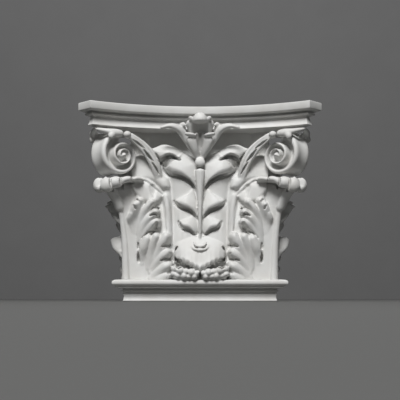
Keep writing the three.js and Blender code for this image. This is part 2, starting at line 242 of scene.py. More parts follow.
def strand(rows, side=None, steps=28, section=None, blunt=1.0):
    """Rings along rows of x, y, z, half width and half depth, with rounded ends."""
    section = oval() if section is None else section
    curve = spline(rows, steps)
    path, half, depth = curve[:, :3], curve[:, 3], curve[:, 4]
    travelled = np.cumsum(np.linalg.norm(np.diff(path, axis=0), axis=1))
    length = np.concatenate([[0], travelled])
    from_start = length / (blunt * half[0])
    from_end = (length[-1] - length) / (blunt * half[-1])
    near_end = np.clip(np.minimum(from_start, from_end), 0, 1)
    round_off = np.sqrt(np.clip(1 - (1 - near_end) ** 2, SMALLEST_END**2, 1))
    _, across, out = frames(path, side)
    u, v = section[:, 0][None, :, None], section[:, 1][None, :, None]
    swell = round_off[:, None, None]
    sideways = across[:, None] * u * half[:, None, None] * swell
    forwards = out[:, None] * v * depth[:, None, None] * swell
    return path[:, None] + sideways + forwards


short_strand = strand([[0, 0, 0, 5, 5], [0, 0, 40, 3, 3]], side=[1, 0, 0])
print("a strand has", len(short_strand), "rings of", short_strand.shape[1], "points")

# %% [markdown]
# A helper for berries and lobes
#
# Berries, beads and small lobes are egg shapes that sit half in the carving. A scaled sphere would
# do for most of them. The rings are worked out here so that the same shape can also be flat below.

# %% Dome
POLE = 0.02  # radians from an end's pole to its first ring


def dome(centre, radii, below=1.0, stations=20, sides=24):
    """Rings of an egg shape; its lower half is flattened to a share of the height above."""
    a = np.linspace(0, 2 * math.pi, sides, endpoint=False)
    rings = []
    for u in np.cos(np.linspace(POLE, math.pi - POLE, stations)):
        r = math.sqrt(1 - u * u)
        rise = radii[2] * r * np.sin(a)
        rise = np.where(rise < 0, rise * below, rise)
        points = np.stack([np.full(sides, radii[0] * u), radii[1] * r * np.cos(a), rise], axis=1)
        rings.append(points + np.array(centre))
    return rings


print("a dome has", len(dome((0, 0, 0), (5, 5, 5))), "rings")

# %% [markdown]
# The bell and the ground of the leaves
#
# Under the carving lies a plain form: a bell that is nearly flat across the front and set back
# under the abacus, and a leaf blade at each corner that leans out up to its roll. It could be
# modelled as a swept shape and sculpted. Here its front is described as a distance forward for
# every place across and up, because carving can then be added to that distance, stroke by stroke,
# like clay laid on a board and cut back with a tool.

# %% Ground
LEAF_OUT = [[31, -3], [85, -1.6], [113, 1], [135, 4.5], [149, 8], [165, 12]]  # z, how far out
CORNER_OUT = LEAF_OUT + [[172, 8], [184, -10], [285, -12]]
LEAF_EDGE = [[31, 44], [105, 46], [150, 62], [285, 118]]  # z, x of the leaf's inner edge
BELL_FORWARD = 23
BELL_SET_BACK = 17  # under the abacus, in the middle
UNDER_ABACUS = (200, 226)  # heights over which the bell is set back
BY_THE_VOLUTE = (88, 104)  # x over which it comes forward again
LEAF_FORWARD = 4  # how far the leaf stands on the bell
LEAF_ENDS = (166, 184)  # heights over which it sinks away
CORNER_FROM = 74  # the x from which the blade turns out to the corner


def along_height(pairs, z):
    """The value at a height, from pairs of height and value."""
    z_values, values = zip(*pairs)
    return np.interp(z, z_values, values)


def ground(x, z):
    """How far forward the plain form stands, before any relief."""
    out = along_height(CORNER_OUT, z)
    edge = along_height(LEAF_EDGE, z)
    bell = BELL_FORWARD - BELL_SET_BACK * ease(*UNDER_ABACUS, z) * (1 - ease(*BY_THE_VOLUTE, x))
    leaf = LEAF_FORWARD * ease(edge - 5, edge + 5, x) * (1 - ease(*LEAF_ENDS, z))
    return mix(bell + leaf, out - NECK_FRONT, ease(CORNER_FROM, HALF_NECK - 4 + out, x))


print("the bell's front is at y", -float(ground(np.array(0.0), np.array(100.0))))

# %% [markdown]
# Strokes of relief
#
# Four kinds of stroke make all the carving. A finger is a round ridge that swells to a blunt tip.
# A shelf is a petal's curled lower edge, which rises steeply from a slot and falls away above it.
# A trench is a groove or a slot, and a pad raises a whole area with a rounded edge. Each is drawn
# with a few points, as a gouge follows a pencil line. Sculpting brushes would give the same
# shapes, but a brush stroke can't be corrected later by changing one number.

# %% Distance from a stroke
def nearest(rows, x, z, count=22):
    """Distance from a path of x, z rows, its side (positive on the right of the way along it), and
    the path's further columns at the nearest place, with the share of the way along."""
    curve = spline(rows, count)
    best = np.full(x.shape, 1e9)
    share = np.zeros(x.shape)
    side = np.zeros(x.shape)
    for k in range(count - 1):
        (ax, az), (bx, bz) = curve[k, :2], curve[k + 1, :2]
        dx, dz = bx - ax, bz - az
        t = np.clip(((x - ax) * dx + (z - az) * dz) / (dx * dx + dz * dz), 0, 1)
        px, pz = x - ax - t * dx, z - az - t * dz
        d = np.hypot(px, pz)
        closer = d < best
        best = np.where(closer, d, best)
        share = np.where(closer, (k + t) / (count - 1), share)
        side = np.where(closer, np.sign(dz * px - dx * pz), side)
    places = np.linspace(0, 1, count)
    return best, side, [np.interp(share, places, column) for column in curve[:, 2:].T], share


def inside(corners, x, z):
    """Which places lie inside a closed outline."""
    within = np.zeros(x.shape, bool)
    for (ax, az), (bx, bz) in zip(corners, np.roll(corners, -1, axis=0)):
        if az == bz:
            continue
        crosses = (az > z) != (bz > z)
        within ^= crosses & (x < (bx - ax) * (z - az) / (bz - az) + ax)
    return within


# %% Strokes
BLUNTNESS = 0.42  # of a finger's section: 0.5 is round and less is squarer
SHELF_FALL = 1.3  # above 1, a petal falls away quickly at first and slowly later
SHELF_FADE = (0.02, 0.12)  # shares of a shelf's length over which its two ends fade


def round_over(share):
    """A quarter circle from 0 to 1."""
    return np.sqrt(np.clip(1 - (1 - np.clip(share, 0, 1)) ** 2, 0, 1))


def round_bottom(d, half):
    """The section of a groove: 1 in the middle and 0 at half its width."""
    return np.clip(1 - (d / half) ** 3, 0, 1)


def finger(f, base, x, z, rows):
    """A round ridge along rows of x, z, half width and rise."""
    d, _, (half, rise), _ = nearest(rows, x, z)
    ridge = base + rise * np.clip(1 - (d / half) ** 2, 0, 1) ** BLUNTNESS
    return np.where(d < half, np.maximum(f, ridge), f)


def trench(f, x, z, rows):
    """A groove along rows of x, z, half width and depth."""
    d, _, (half, depth), _ = nearest(rows, x, z)
    return f - depth * round_bottom(d, half)


def shelf(f, x, z, rows):
    """A curled edge along rows of x, z, rise, reach and lip; what it raises is on its right."""
    d, side, (rise, reach, lip), share = nearest(rows, x, z)
    up = d * side
    fall = np.clip(1 - (up - lip) / (reach - lip), 0, 1) ** SHELF_FALL
    window = ease(0, SHELF_FADE[0], share) * (1 - ease(1 - SHELF_FADE[1], 1, share))
    return f + rise * round_over(up / lip) * fall * window


def pad(f, base, x, z, corners, rise, edge):
    """Raises the inside of an outline by a rise, over a rounded edge."""
    outline = spline(corners + corners[:1], 60)
    d, _, _, _ = nearest(outline[:, :2], x, z, 60)
    return np.where(inside(outline, x, z), np.maximum(f, base + rise * round_over(d / edge)), f)


flat = np.zeros((1, 9))
across = np.linspace(-8, 8, 9)[None]
ridge = finger(flat, flat, across, flat, [[0, -9, 6, 5], [0, 9, 6, 5]])
print("across a finger:", ridge.round(1).tolist()[0])

# %% [markdown]
# The palmette
#
# In the middle of the front a stem opens into overlapping petals on both sides. Each petal is a
# convex shell whose lower edge turns under above a black slot, and the next petal lies below it.
# Modelled one by one the petals would meet in sharp creases. As strokes on one pad they flow into
# each other at the stem, as they do on the casting.

# %% Palmette strokes
PALMETTE = [
    [0, 209], [10, 214], [22, 221], [32, 227], [44, 232.5], [56, 234], [66, 230], [74, 226],
    [68, 214], [56, 207], [50, 196], [45, 180], [43, 150], [42, 120], [42, 64], [0, 60],
]
PETAL_EDGES = [
    [[60, 206, 4, 14, 3], [55, 211, 8, 18, 4], [47, 214.5, 9, 19, 4], [41, 214, 8, 20, 4],
     [35, 211, 6, 20, 3], [29, 208, 2, 16, 2]],
    [[54, 197, 4, 30, 5], [51.5, 194, 8, 36, 8], [44, 188.5, 10, 42, 9], [36.6, 186, 11, 44, 9],
     [29, 184, 11, 44, 8], [22, 181, 10, 42, 6], [16, 177, 9, 38, 4.5], [11.4, 172, 7, 32, 3],
     [7.7, 164.6, 4, 26, 2], [4.7, 150, 1.5, 20, 1.5]],
    [[38, 149, 4, 28, 4], [35, 144, 8, 34, 7], [29, 139.5, 9.5, 38, 8], [22, 136.5, 10, 38, 8],
     [14.5, 133.5, 9, 36, 6.5], [8.5, 127.5, 6, 30, 4], [4, 120, 1.5, 20, 2]],
    [[32, 118, 4, 22, 4], [29, 111.5, 8, 26, 6], [25, 107.5, 8.5, 28, 7],
     [17.5, 105.5, 8.5, 28, 7], [11.5, 101.5, 7, 24, 4.5], [5.5, 96.5, 2, 14, 2]],
]
WEB = [  # the bright ground between the top petal and the volute's stalk
    [106, 212], [90, 219], [74, 214], [64, 206], [58, 200], [56, 188], [47, 182], [44, 168],
    [56, 164], [74, 176], [106, 180],
]


def slots_under(edges):
    """The dark slot along each petal's edge: rows of x, z, half width and depth."""
    return [[[x, z, 1.3 + 0.2 * rise, 0.9 * rise] for x, z, rise, _, _ in rows] for rows in edges]


print(len(PETAL_EDGES), "petals on each side")

# %% [markdown]
# The corner leaf
#
# Its lobes branch from the blade towards the middle of the capital. Each lobe is a bunch of round
# fingers with their tips raised, and drilled eyes between them give the black accents. The lobes
# by the corner stand out on the side, where they show in outline, and lie flatter on the front.
# They could be strands laid on the blade, but strokes leave no gap behind a raised tip.

# %% Leaf strokes
LEAF_FINGERS = [
    [[70, 31, 7, 3], [60, 33, 7, 9], [50, 37, 7, 13], [45, 39, 6, 14]],
    [[71, 34, 7, 3], [62, 43, 7, 9], [52, 50, 8, 15], [46, 53, 7, 16]],
    [[71, 44, 7, 3], [63, 57, 7.5, 9], [54, 67, 8, 15], [48, 72, 7, 17]],
    [[70, 50, 7, 3], [62, 70, 8, 10], [55, 86, 9, 17], [50, 95, 8, 19]],
    [[75, 50, 6, 3], [73, 70, 7.5, 8], [69, 86, 8, 14], [65, 95, 7, 17]],
    [[88, 80, 5, 2], [80, 102, 7.5, 9], [71, 113, 7.5, 16], [64, 117, 6.5, 19]],
    [[90, 84, 5, 2], [84, 108, 7.5, 9], [75, 122, 8, 17], [66, 131, 7, 21]],
    [[91, 90, 4, 2], [86, 118, 6.5, 8], [80, 135, 7, 16], [71, 146, 6, 20]],
    [[97, 128, 4, 2], [93, 144, 5, 6], [89, 160, 5, 8], [86, 172, 4.5, 8]],
]
EDGE_FINGERS = [
    [[86, 58, 5, 2], [86, 69, 7, 10], [83, 79, 8, 20], [78, 92, 7.5, 25]],
    [[98, 104, 4, 1], [101, 114, 5, 4], [103, 122, 5.5, 12], [101, 129, 4.5, 17]],
    [[98, 106, 4, 1], [99, 120, 6, 6], [98, 131, 6, 18], [95, 142, 5.5, 27]],
    [[94, 104, 5, 1], [93, 122, 6, 6], [91, 137, 6, 18], [88, 148, 6, 27]],
]
EDGE_ON_FRONT = 0.58  # the share of their rise that the edge fingers have on the front
LEAF_GUTTER = [
    [92, 80, 2, 1], [91, 100, 4, 4], [87, 120, 4.5, 6], [80, 135, 4.5, 6], [70, 146, 4, 4],
]
LEAF_EYES = [
    [[92, 72, 1.4, 7], [92, 64, 2.4, 14], [91.4, 58, 1.8, 9]],
    [[92, 86, 1.3, 5], [91.5, 78, 1.8, 7]],
    [[66, 138, 1.4, 6], [62, 138, 2, 12]],
    [[74, 125.5, 1.4, 6], [68, 128, 2.2, 12], [61, 127.5, 2, 9]],
    [[70, 106, 1.6, 5], [66.5, 110, 3, 13], [64, 115, 2.4, 9]],
    [[86, 93, 1.2, 4], [78.5, 101, 1.6, 7], [71, 104, 1.6, 7], [68, 102, 1.2, 4]],
    [[56, 80, 1.4, 5], [51, 82.5, 2.2, 11], [45, 83.5, 1.6, 8]],
    [[58, 60, 1.4, 6], [51, 63, 2.2, 10], [45, 62.5, 1.6, 6]],
    [[48, 41, 1.6, 6], [44.5, 42, 2, 9]],
    [[45.5, 71, 1.2, 5], [44, 70, 1.4, 6]],
    [[93, 150, 1.6, 9], [90.5, 147, 1.4, 6]],
    [[97, 140, 1.2, 5], [95, 136, 1.4, 6]],
]
print(len(LEAF_FINGERS) + len(EDGE_FINGERS), "fingers and", len(LEAF_EYES), "drilled eyes on a leaf")

# %% [markdown]
# The calyx
#
# Between the leaf and the palmette a slender sheath climbs and opens into a small calyx whose
# rim runs out to the volute. Both are low relief, so they are strokes too.

# %% Calyx strokes
SHEATH = [
    [46, 184], [60, 184], [58, 160], [56, 130], [54, 104], [50, 92], [42, 92], [41, 120], [42, 150],
]
CALYX_FIELD = [
    [54, 156], [64, 167], [73, 175], [82, 180], [98, 182], [100, 165], [88, 150], [75, 146],
    [62, 146],
]
CALYX_FINGERS = [
    [[44, 86, 4, 4], [46, 110, 4.5, 7], [48, 135, 5, 9.5], [51, 156, 5, 9]],
    [[54, 159, 3, 5], [64, 168, 3.6, 9.5], [73, 176, 3.8, 11], [81, 181, 3.8, 11.5],
     [97, 183, 3.6, 12]],
]
CALYX_GROOVE = [[70, 168, 6, 3], [69, 161, 4.5, 4], [68, 153, 1.5, 2]]
print("the sheath climbs to", max(z for _, z in SHEATH), "and the calyx to", CALYX_FINGERS[1][-1][1])

# %% [markdown]
# The relief as a whole
#
# The strokes are laid in the order in which a carver works: large pads first, then petals and
# fingers on them, and the drilled eyes last. At the corner everything fades into the blade, so
# that the front and its mirror image on the side meet in one line.

# %% Relief
PALM_LEVEL = 30
PALM_LEAN = 6  # how much further forward the palmette is at its top
PALM_LEANS = (150, 225)  # heights over which it leans
PALM_SIDE = (44, 60)  # x over which its side sinks to the ground
PALM_TOP = (196, 204)  # the height over which its top is free of the ground
WEB_LEVEL = 20
PALMETTE_PAD = (14, 22)  # rise, width of the rounded edge
WEB_PAD = (15, 9)
SHEATH_PAD = (9, 9)
CALYX_PAD = (9, 6)


def palm_level(base, x, z):
    """How far forward the palmette's pad stands; beyond its edge it sinks to the ground."""
    palm = PALM_LEVEL + PALM_LEAN * ease(*PALM_LEANS, z)
    return mix(palm, base, ease(*PALM_SIDE, x) * (1 - ease(*PALM_TOP, z)))


def relief(x, z, edge_share):
    """How far forward a carved face stands, with a share of the rise of the edge fingers."""
    base = ground(x, z)
    web = np.full(x.shape, float(WEB_LEVEL))
    f = pad(base, palm_level(base, x, z) - PALMETTE_PAD[0], x, z, PALMETTE, *PALMETTE_PAD)
    for rows in PETAL_EDGES:
        f = shelf(f, x, z, rows)
    for rows in slots_under(PETAL_EDGES):
        f = trench(f, x, z, rows)
    f = pad(f, web, x, z, WEB, *WEB_PAD)
    f = pad(f, web, x, z, SHEATH, *SHEATH_PAD)
    f = pad(f, base, x, z, CALYX_FIELD, *CALYX_PAD)
    for rows in CALYX_FINGERS:
        f = finger(f, base, x, z, rows)
    f = trench(f, x, z, LEAF_GUTTER)
    for rows in LEAF_FINGERS:
        f = finger(f, base, x, z, rows)
    for rows in EDGE_FINGERS:
        f = finger(f, base, x, z, [[a, b, half, rise * edge_share] for a, b, half, rise in rows])
    for rows in LEAF_EYES + [CALYX_GROOVE]:
        f = trench(f, x, z, rows)
    tip = HALF_NECK + along_height(CORNER_OUT, z)
    return mix(f, base, ease(tip - 4, tip - 0.5, x))


middle_top = relief(np.array([30.0]), np.array([200.0]), 1)
print("the top petal stands", round(float(middle_top[0]), 1), "mm forward")

# %% [markdown]
# The carved body
#
# A ring is drawn round the body at every level, from the wall along the left side, the front and
# the right side back to the wall, and the rings are skinned. A displaced grid could give the
# front, but not the front and both sides as one closed body. Beyond the place that the mirror puts
# on the wall, the places are spread evenly up to the leaf's tip.

# %% Carved body
FINE = 0.9  # millimetres between the drawn places
WALL_X = DIAGONAL - BACK  # the front's x that the mirror puts on the wall
BODY_BOTTOM = NECK_TOP - 2  # it ends inside the neck and the abacus
BODY_TOP = HEIGHT - 28
OUTER_WIDTH = 60  # from there to the leaf's tip


def carved_body():
    """Rings round the carved body, from the neck to under the abacus."""
    heights = np.arange(BODY_BOTTOM, BODY_TOP, FINE)
    tips = HALF_NECK + along_height(CORNER_OUT, heights)
    inner = np.linspace(0, WALL_X, round(WALL_X / FINE))
    spread = np.linspace(0, 1, round(OUTER_WIDTH / FINE))[1:]
    outer = WALL_X + (tips[:, None] - WALL_X) * spread
    x = np.hstack([np.tile(inner, (len(heights), 1)), outer])
    z = np.tile(heights[:, None], (1, x.shape[1]))
    front = np.stack([x, -relief(x, z, EDGE_ON_FRONT), z], axis=-1)
    x, z = x[:, len(inner) - 1 : -1], z[:, len(inner) - 1 : -1]
    side = to_side(np.stack([x, -relief(x, z, 1), z], axis=-1))[:, ::-1]
    right = np.concatenate([front, side], axis=1)
    left = to_left(right[:, 1:])[:, ::-1]
    return np.concatenate([left, right], axis=1)


body_rings = carved_body()
clay.append(skin("body", body_rings))
print("carved body:", body_rings.shape[0], "levels of", body_rings.shape[1], "places")

# %% [markdown]
# The leaf's rib and roll
#
# A round rib climbs along the corner, and at the top the blade rolls over into a row of blunt
# lumps that hang above a hollow. The roll stands free of the blade, which a height field can't
# show, so it is made of strands: one for the lumps and one behind it that closes it to the blade.

# %% Corner leaf rib and roll
DIAGONAL_ACROSS = [1, 1, 0]
UPWARD = [0, 0, 1]
SIDEWAYS = [1, 0, 0]
RIB_HEIGHTS = (25, 60, 90, 115, 135, 150, 162)
RIB_INSET = 1.2  # how far the rib's middle lies behind the blade's edge


def rib_row(z):
    """The rib's place, half width and half depth at a height; it tapers upwards."""
    x = HALF_NECK + float(along_height(CORNER_OUT, z)) - RIB_INSET
    return [x, DIAGONAL - x, z, 7.2 - z / 40, 5.5 - z / 60]


ROLL = [
    [86, -42, 179, 2.4, 4], [93, -48, 179.5, 3.2, 6], [99, -50, 178, 3.4, 6],
    [106, -54, 178, 4.4, 7], [112, -56, 176, 4.6, 7], [118, -59, 173.5, 7.6, 8],
    [123, -61, 172.5, 8.4, 8.5], [128.5, -61, 172, 7.6, 7.5], [134, -62, 169.5, 11.4, 9.5],
    [139, -61, 170, 11, 8.5], [143, -60, 171.5, 9, 7], [145.5, -60, 172, 8, 6],
]
ROLL_BACK = [
    [84, -35, 179, 3.5, 6], [96, -41, 179, 4, 8], [108, -45, 178, 4.5, 9], [120, -49, 175, 6, 10],
    [131, -51, 172, 6, 9],
]
ROLL_TIP = [
    [118, -33, 132, 8, 5], [124, -39, 150, 9, 6], [131, -46, 163, 9, 7], [138, -53, 172, 8, 7],
]
rib_rows = [rib_row(z) for z in RIB_HEIGHTS]
everywhere("rib", strand(rib_rows, side=DIAGONAL_ACROSS, steps=40), side=False)
everywhere("roll", strand(ROLL, side=UPWARD, steps=70))
everywhere("roll_back", strand(ROLL_BACK, side=UPWARD, steps=40))
everywhere("roll_tip", strand(ROLL_TIP, side=DIAGONAL_ACROSS), side=False)

# %% [markdown]
# The volutes
#
# Each corner carries a scroll on both faces: a band that winds in to an eye and bulges forward as
# it goes. A logarithmic spiral keeps its proportions at every turn, as a carver's template does.
# A screw modifier could wind a band, but not narrow it. So the section of the band, which is a
# round rim, a dished channel and the wall up to the next turn, is placed along the spiral point by
# point.

# %% Volute sizes
VOLUTE_CENTRE = np.array([114.2, -55, 212])
VOLUTE_TURN = math.radians(35)  # how far the scroll is turned out from the front
VOLUTE_RADIUS = 32
VOLUTE_BULGE = 13
TURN_RATIO = 0.498  # each turn's radius to that of the turn around it
PER_TURN = 72
TURNS = 2.3
SCROLL_STEPS = round(TURNS * PER_TURN)
BAND_SHARES = [1, 0.99, 0.96, 0.915, 0.865, 0.815, 0.775, 0.745, 0.71, 0.66, 0.61, 0.56, 0.52]
BAND_RISES = [-3, -0.8, 1, 2, 2.1, 1.3, -0.8, -3.8, -5.8, -7.3, -8.3, -8.6, -7]
BAND = len(BAND_SHARES)
FLATTER_INSIDE = 20  # the radius within which the band's section grows flatter
RIM_STEPS = 6  # between the scroll's two faces
RIM_HOLLOW = 0.05


def swell(r):
    """How far the scroll bulges forward at a radius."""
    return VOLUTE_BULGE * np.maximum(0, 1 - r / VOLUTE_RADIUS) ** 1.4


print("the eye bulges", float(swell(0)), "mm and the rim", float(swell(VOLUTE_RADIUS)))

# %% Volute faces
def scroll_points():
    """The band's sections along the spiral, and the middle of the eye last."""
    outward = np.array([math.cos(VOLUTE_TURN), -math.sin(VOLUTE_TURN), 0])
    normal = np.array([-math.sin(VOLUTE_TURN), -math.cos(VOLUTE_TURN), 0])
    upward = np.array([0, 0, 1.0])
    start = VOLUTE_RADIUS / TURN_RATIO**0.25
    points = []
    for i in range(SCROLL_STEPS + 1):
        a = 2 * math.pi * i / PER_TURN
        r = start * TURN_RATIO ** (i / PER_TURN)
        flatter = min(1, (r / FLATTER_INSIDE) ** 0.6)
        for s, rise in zip(BAND_SHARES, BAND_RISES):
            place = VOLUTE_CENTRE + outward * s * r * math.sin(a) + upward * s * r * math.cos(a)
            points.append(place + normal * (swell(r) + rise * flatter))
    points.append(VOLUTE_CENTRE + normal * (swell(0) + 0.5))
    return np.array(points)


def scroll_faces():
    """The band's quads, the joins from each turn to the next, and a fan around the eye."""
    faces = []
    for i in range(SCROLL_STEPS):
        for j in range(BAND - 1):
            a = i * BAND + j
            faces.append([a, a + 1, a + BAND + 1, a + BAND])
        if i + PER_TURN < SCROLL_STEPS:
            a, b = i * BAND + BAND - 1, (i + PER_TURN) * BAND
            faces.append([a, b, b + BAND, a + BAND])
    inner = [(SCROLL_STEPS - PER_TURN + i) * BAND + BAND - 1 for i in range(PER_TURN + 1)]
    hub = inner + [SCROLL_STEPS * BAND + j for j in range(BAND - 2, -1, -1)]
    eye = (SCROLL_STEPS + 1) * BAND
    return faces + [[eye, hub[(k + 1) % len(hub)], p] for k, p in enumerate(hub)]


print("one face of a scroll:", len(scroll_points()), "points and", len(scroll_faces()), "faces")

# %% Volute
def volute():
    """Both faces of a corner's scroll and the hollow rim between them: points and faces."""
    front = scroll_points()
    back = to_side(front)
    count = len(front)
    faces = scroll_faces()
    faces += [[p + count for p in face][::-1] for face in faces]
    outline = [i * BAND for i in range(PER_TURN + 1)] + [j for j in range(BAND - 1, 0, -1)]
    n = len(outline)
    rings = []
    for k in range(1, RIM_STEPS):
        t = k / RIM_STEPS
        ring = mix(front[outline], back[outline], t)
        centre = ring.mean(axis=0)
        rings.append(centre + (ring - centre) * (1 - RIM_HOLLOW * math.sin(math.pi * t)))
    ids = [outline] + [[2 * count + k * n + q for q in range(n)] for k in range(RIM_STEPS - 1)]
    ids.append([p + count for p in outline])
    for one, two in zip(ids, ids[1:]):
        faces += [[one[q], one[(q + 1) % n], two[(q + 1) % n], two[q]] for q in range(n)]
    return np.vstack([front, back] + rings), faces


volute_points, volute_faces = volute()
for k, place in enumerate([volute_points, to_left(volute_points)]):
    clay.append(closed_piece(f"volute_{k}", place, volute_faces))
print("volute:", len(volute_points), "points and", len(volute_faces), "faces")

# %% [markdown]
# The stalks that climb to the volutes
#
# Three round ribs lie side by side, with deep slots between them, and spread as they climb. They
# are copies of one path that are moved across it, so that they stay side by side round its bend.

# %% Helix
HELIX_PATH = [
    [57, -16, 158], [61, -28, 178], [66, -37, 200], [75, -42, 216.5], [87, -49, 229.5],
    [104, -59, 242],
]
HELIX_RIBS = [[-1, 0.5], [0, 1.2], [1, 1.6]]  # across, and how far proud
HELIX_SPREAD = [2.2, 3, 4.4, 4.8, 4.0, 2.6]
HELIX_HALF = [1.8, 2.3, 3.1, 3.3, 2.8, 2.0]

helix_middle = np.array(HELIX_PATH, float)
helix_half = np.array(HELIX_HALF)[:, None]
_, helix_across, helix_out = frames(helix_middle, None)
for k, (share, proud) in enumerate(HELIX_RIBS):
    path = helix_middle + helix_across * share * np.array(HELIX_SPREAD)[:, None] + helix_out * proud
    rows = np.hstack([path, helix_half, helix_half * 1.5])
    everywhere(f"helix_{k}", strand(rows, steps=40, section=oval(16)))

# %% [markdown]
# The berry and the horn leaf
#
# Above the stalks sit a berry and a small leaf that fills the corner under the abacus. The leaf
# is narrow and bends two ways, so it is a strand with a second, shorter one that hangs from it.

# %% Berry and horn leaf
HORN_LEAVES = [
    ([[112, -60, 243, 4.5, 5], [122, -68, 242.5, 6, 7], [134, -71, 244.5, 4, 5.5],
      [144, -69, 247, 2.8, 4], [153, -66, 249.5, 1.3, 2.4]], UPWARD),
    ([[120, -62, 244, 3, 4], [126, -72, 240, 5, 5], [129, -75, 233, 3.6, 3]], SIDEWAYS),
]
everywhere("berry", dome((104.5, -70, 239.5), (5.8, 8, 5.4)), side=False)
for k, (rows, across) in enumerate(HORN_LEAVES):
    everywhere(f"horn_{k}", strand(rows, side=across))

# %% [markdown]
# The stem and its bead
#
# The stem is an inverted cone with flutes, and a bead lies above it. A cone primitive has no
# flutes, so its section is drawn as a circle that dips between them, on the front alone.

# %% Stem
FLUTES = 5
FLUTE_DEPTH = 0.14
STEM = [[0, -30, 84, 1.4, 5], [0, -34, 120, 2.6, 6], [0, -37, 160, 4.6, 6], [0, -40, 196, 7.6, 6]]

angles = np.linspace(0, 2 * math.pi, 60, endpoint=False)
dips = (0.5 - 0.5 * np.cos(2 * FLUTES * angles)) * (np.sin(angles) > 0)
fluted = oval(60) * (1 - FLUTE_DEPTH * dips)[:, None]
stem = strand(STEM, side=SIDEWAYS, steps=40, section=fluted, blunt=0.15)
everywhere("stem", stem, side=False, left=False)
everywhere("bead", dome((0, -42, 204.5), (7.4, 5, 7)), side=False, left=False)

# %% [markdown]
# The lower leaf
#
# In the middle at the foot a broad leaf rises, rolls forward and hangs with a scalloped edge. It
# is one section, seen from the side, that is carried from left to right. Its edge is lowest in the
# middle, and the scallops and the veins above them come from the same wave.

# %% Lower leaf
LEAF_HALF_WIDTH = 40
SCALLOP = 7  # millimetres from one scallop to the next
LEAF_SECTION = [[18, 110], [24, 102], [32, 94], [40, 85], [48, 74], [54, 61]]  # forward, z
LEAF_LIP = [[55.4, 8], [54.8, 5], [53, 2.2], [49.6, 0.4], [46, 1]]  # forward, above the edge
LEAF_INSIDE = [[45, 56], [37, 61], [29, 52], [23, 31]]
LEAF_SIDES_AT = 16  # how far forward the leaf's left and right edges lie
DRAWN_EDGE = 51  # the height of the edge that the section is drawn for
VEIN = 1.6
SHOULDER_DROP = 8  # how much lower the leaf starts at its left and right edges


def leaf_edge(x, wave):
    """The height of the hanging edge."""
    middle = min(1, abs(x) / 25) ** 0.95
    outer = max(0, abs(x) / 25 - 1)
    return 41.5 + 13 * middle + 7 * outer + 2.2 * wave


def lower_leaf(stations=121, along=40):
    """Rings of the leaf from its left edge to its right edge."""
    outside = spline(LEAF_SECTION, along)
    within = spline(LEAF_INSIDE, 16)
    rings = []
    for t in np.linspace(-1, 1, stations):
        x = LEAF_HALF_WIDTH * t
        wave = abs(math.sin(math.pi * x / SCALLOP))
        edge = leaf_edge(x, wave)
        lip = [[forward, edge + above] for forward, above in LEAF_LIP]
        profile = np.vstack([outside, lip, within])
        front, z = profile[:, 0], profile[:, 1].copy()
        vein = VEIN * wave * (1 - ease(60, 88, z))
        hang = (edge - DRAWN_EDGE) * (1 - ease(61, 84, z[:along]))
        z[:along] += hang - SHOULDER_DROP * t * t * ease(80, 100, z[:along])
        full = (1 - 0.97 * abs(t) ** 2.6) ** 0.5
        y = -(mix(LEAF_SIDES_AT, front, full) - vein)
        rings.append(np.stack([np.full(len(profile), x), y, z], axis=1))
    return rings


everywhere("lower_leaf", lower_leaf(), side=False, left=False)

# %% [markdown]
# The foot
#
# Under the lower leaf's edge lies a bank of small lobes, which meets the neck. Only their tops
# show, so they are domes sunk in a strand. Two thin nested rims tie the stem to the leaf, and are
# drawn from the middle to one end and mirrored.

# %% Foot lobes and ties
FOOT_BANK = [[1.5, -37, 36, 9, 5], [14, -39, 37, 10, 6], [28, -39, 38, 11, 6], [41, -36, 40, 11, 5]]
FOOT_LOBES = [
    [5, -46.5, 41, 4.2], [12.5, -46.5, 42, 5.8], [20.5, -46, 43.5, 4.8], [29, -45.5, 45, 6.2],
    [38, -42, 47.5, 5.2], [8.5, -45.5, 36, 5], [16, -46, 36, 3.8], [23.5, -45.5, 37, 5.2],
    [32.5, -44.5, 37.5, 4.4], [39, -42, 40, 4.4],
]
TIES = [(0, 0), (2.6, 2.2)]  # how far each rim grows, and how far its ends sink


def tie(grow, sink):
    """A rim that hangs from two raised ends."""
    end = [9 + grow, -42.5 + sink, 88 - 2 * grow, 1.3, 2]
    bend = [6 + grow, -46.6, 82 - 2 * grow, 1.7, 2.4]
    middle = [0, -48.4, 80 - 2 * grow, 1.8, 2.4]
    return [[-end[0]] + end[1:], [-bend[0]] + bend[1:], middle, bend, end]


everywhere("foot_bank", strand(FOOT_BANK, side=UPWARD), side=False)
for k, (x, y, z, size) in enumerate(FOOT_LOBES):
    everywhere(f"foot_lobe_{k}", dome((x, y, z), (size, 1.4 * size, size)), side=False)
for k, (grow, sink) in enumerate(TIES):
    everywhere(f"tie_{k}", strand(tie(grow, sink), side=UPWARD), side=False, left=False)

# %% [markdown]
# The fleuron
#
# A flower springs from the bead to the middle of the abacus. Two front leaves open, a cup rises
# behind them to a knob, and a long leaf leaves each side under the abacus. The cup's front is
# scooped out, and the leaves have ribs, so each gets a section of its own.

# %% Fleuron's bud, cup and knob
def cup_section(sides=40, hollow=0.3):
    """An oval whose front is scooped out between two round rims."""
    a = np.linspace(0, 2 * math.pi, sides, endpoint=False)
    u, v = np.cos(a), np.sin(a)
    scoop = (hollow + 0.75) * np.clip(1 - (u / 0.78) ** 2, 0, 1)
    return np.stack([u, np.where(v > 0, v - scoop * v, v)], axis=1)


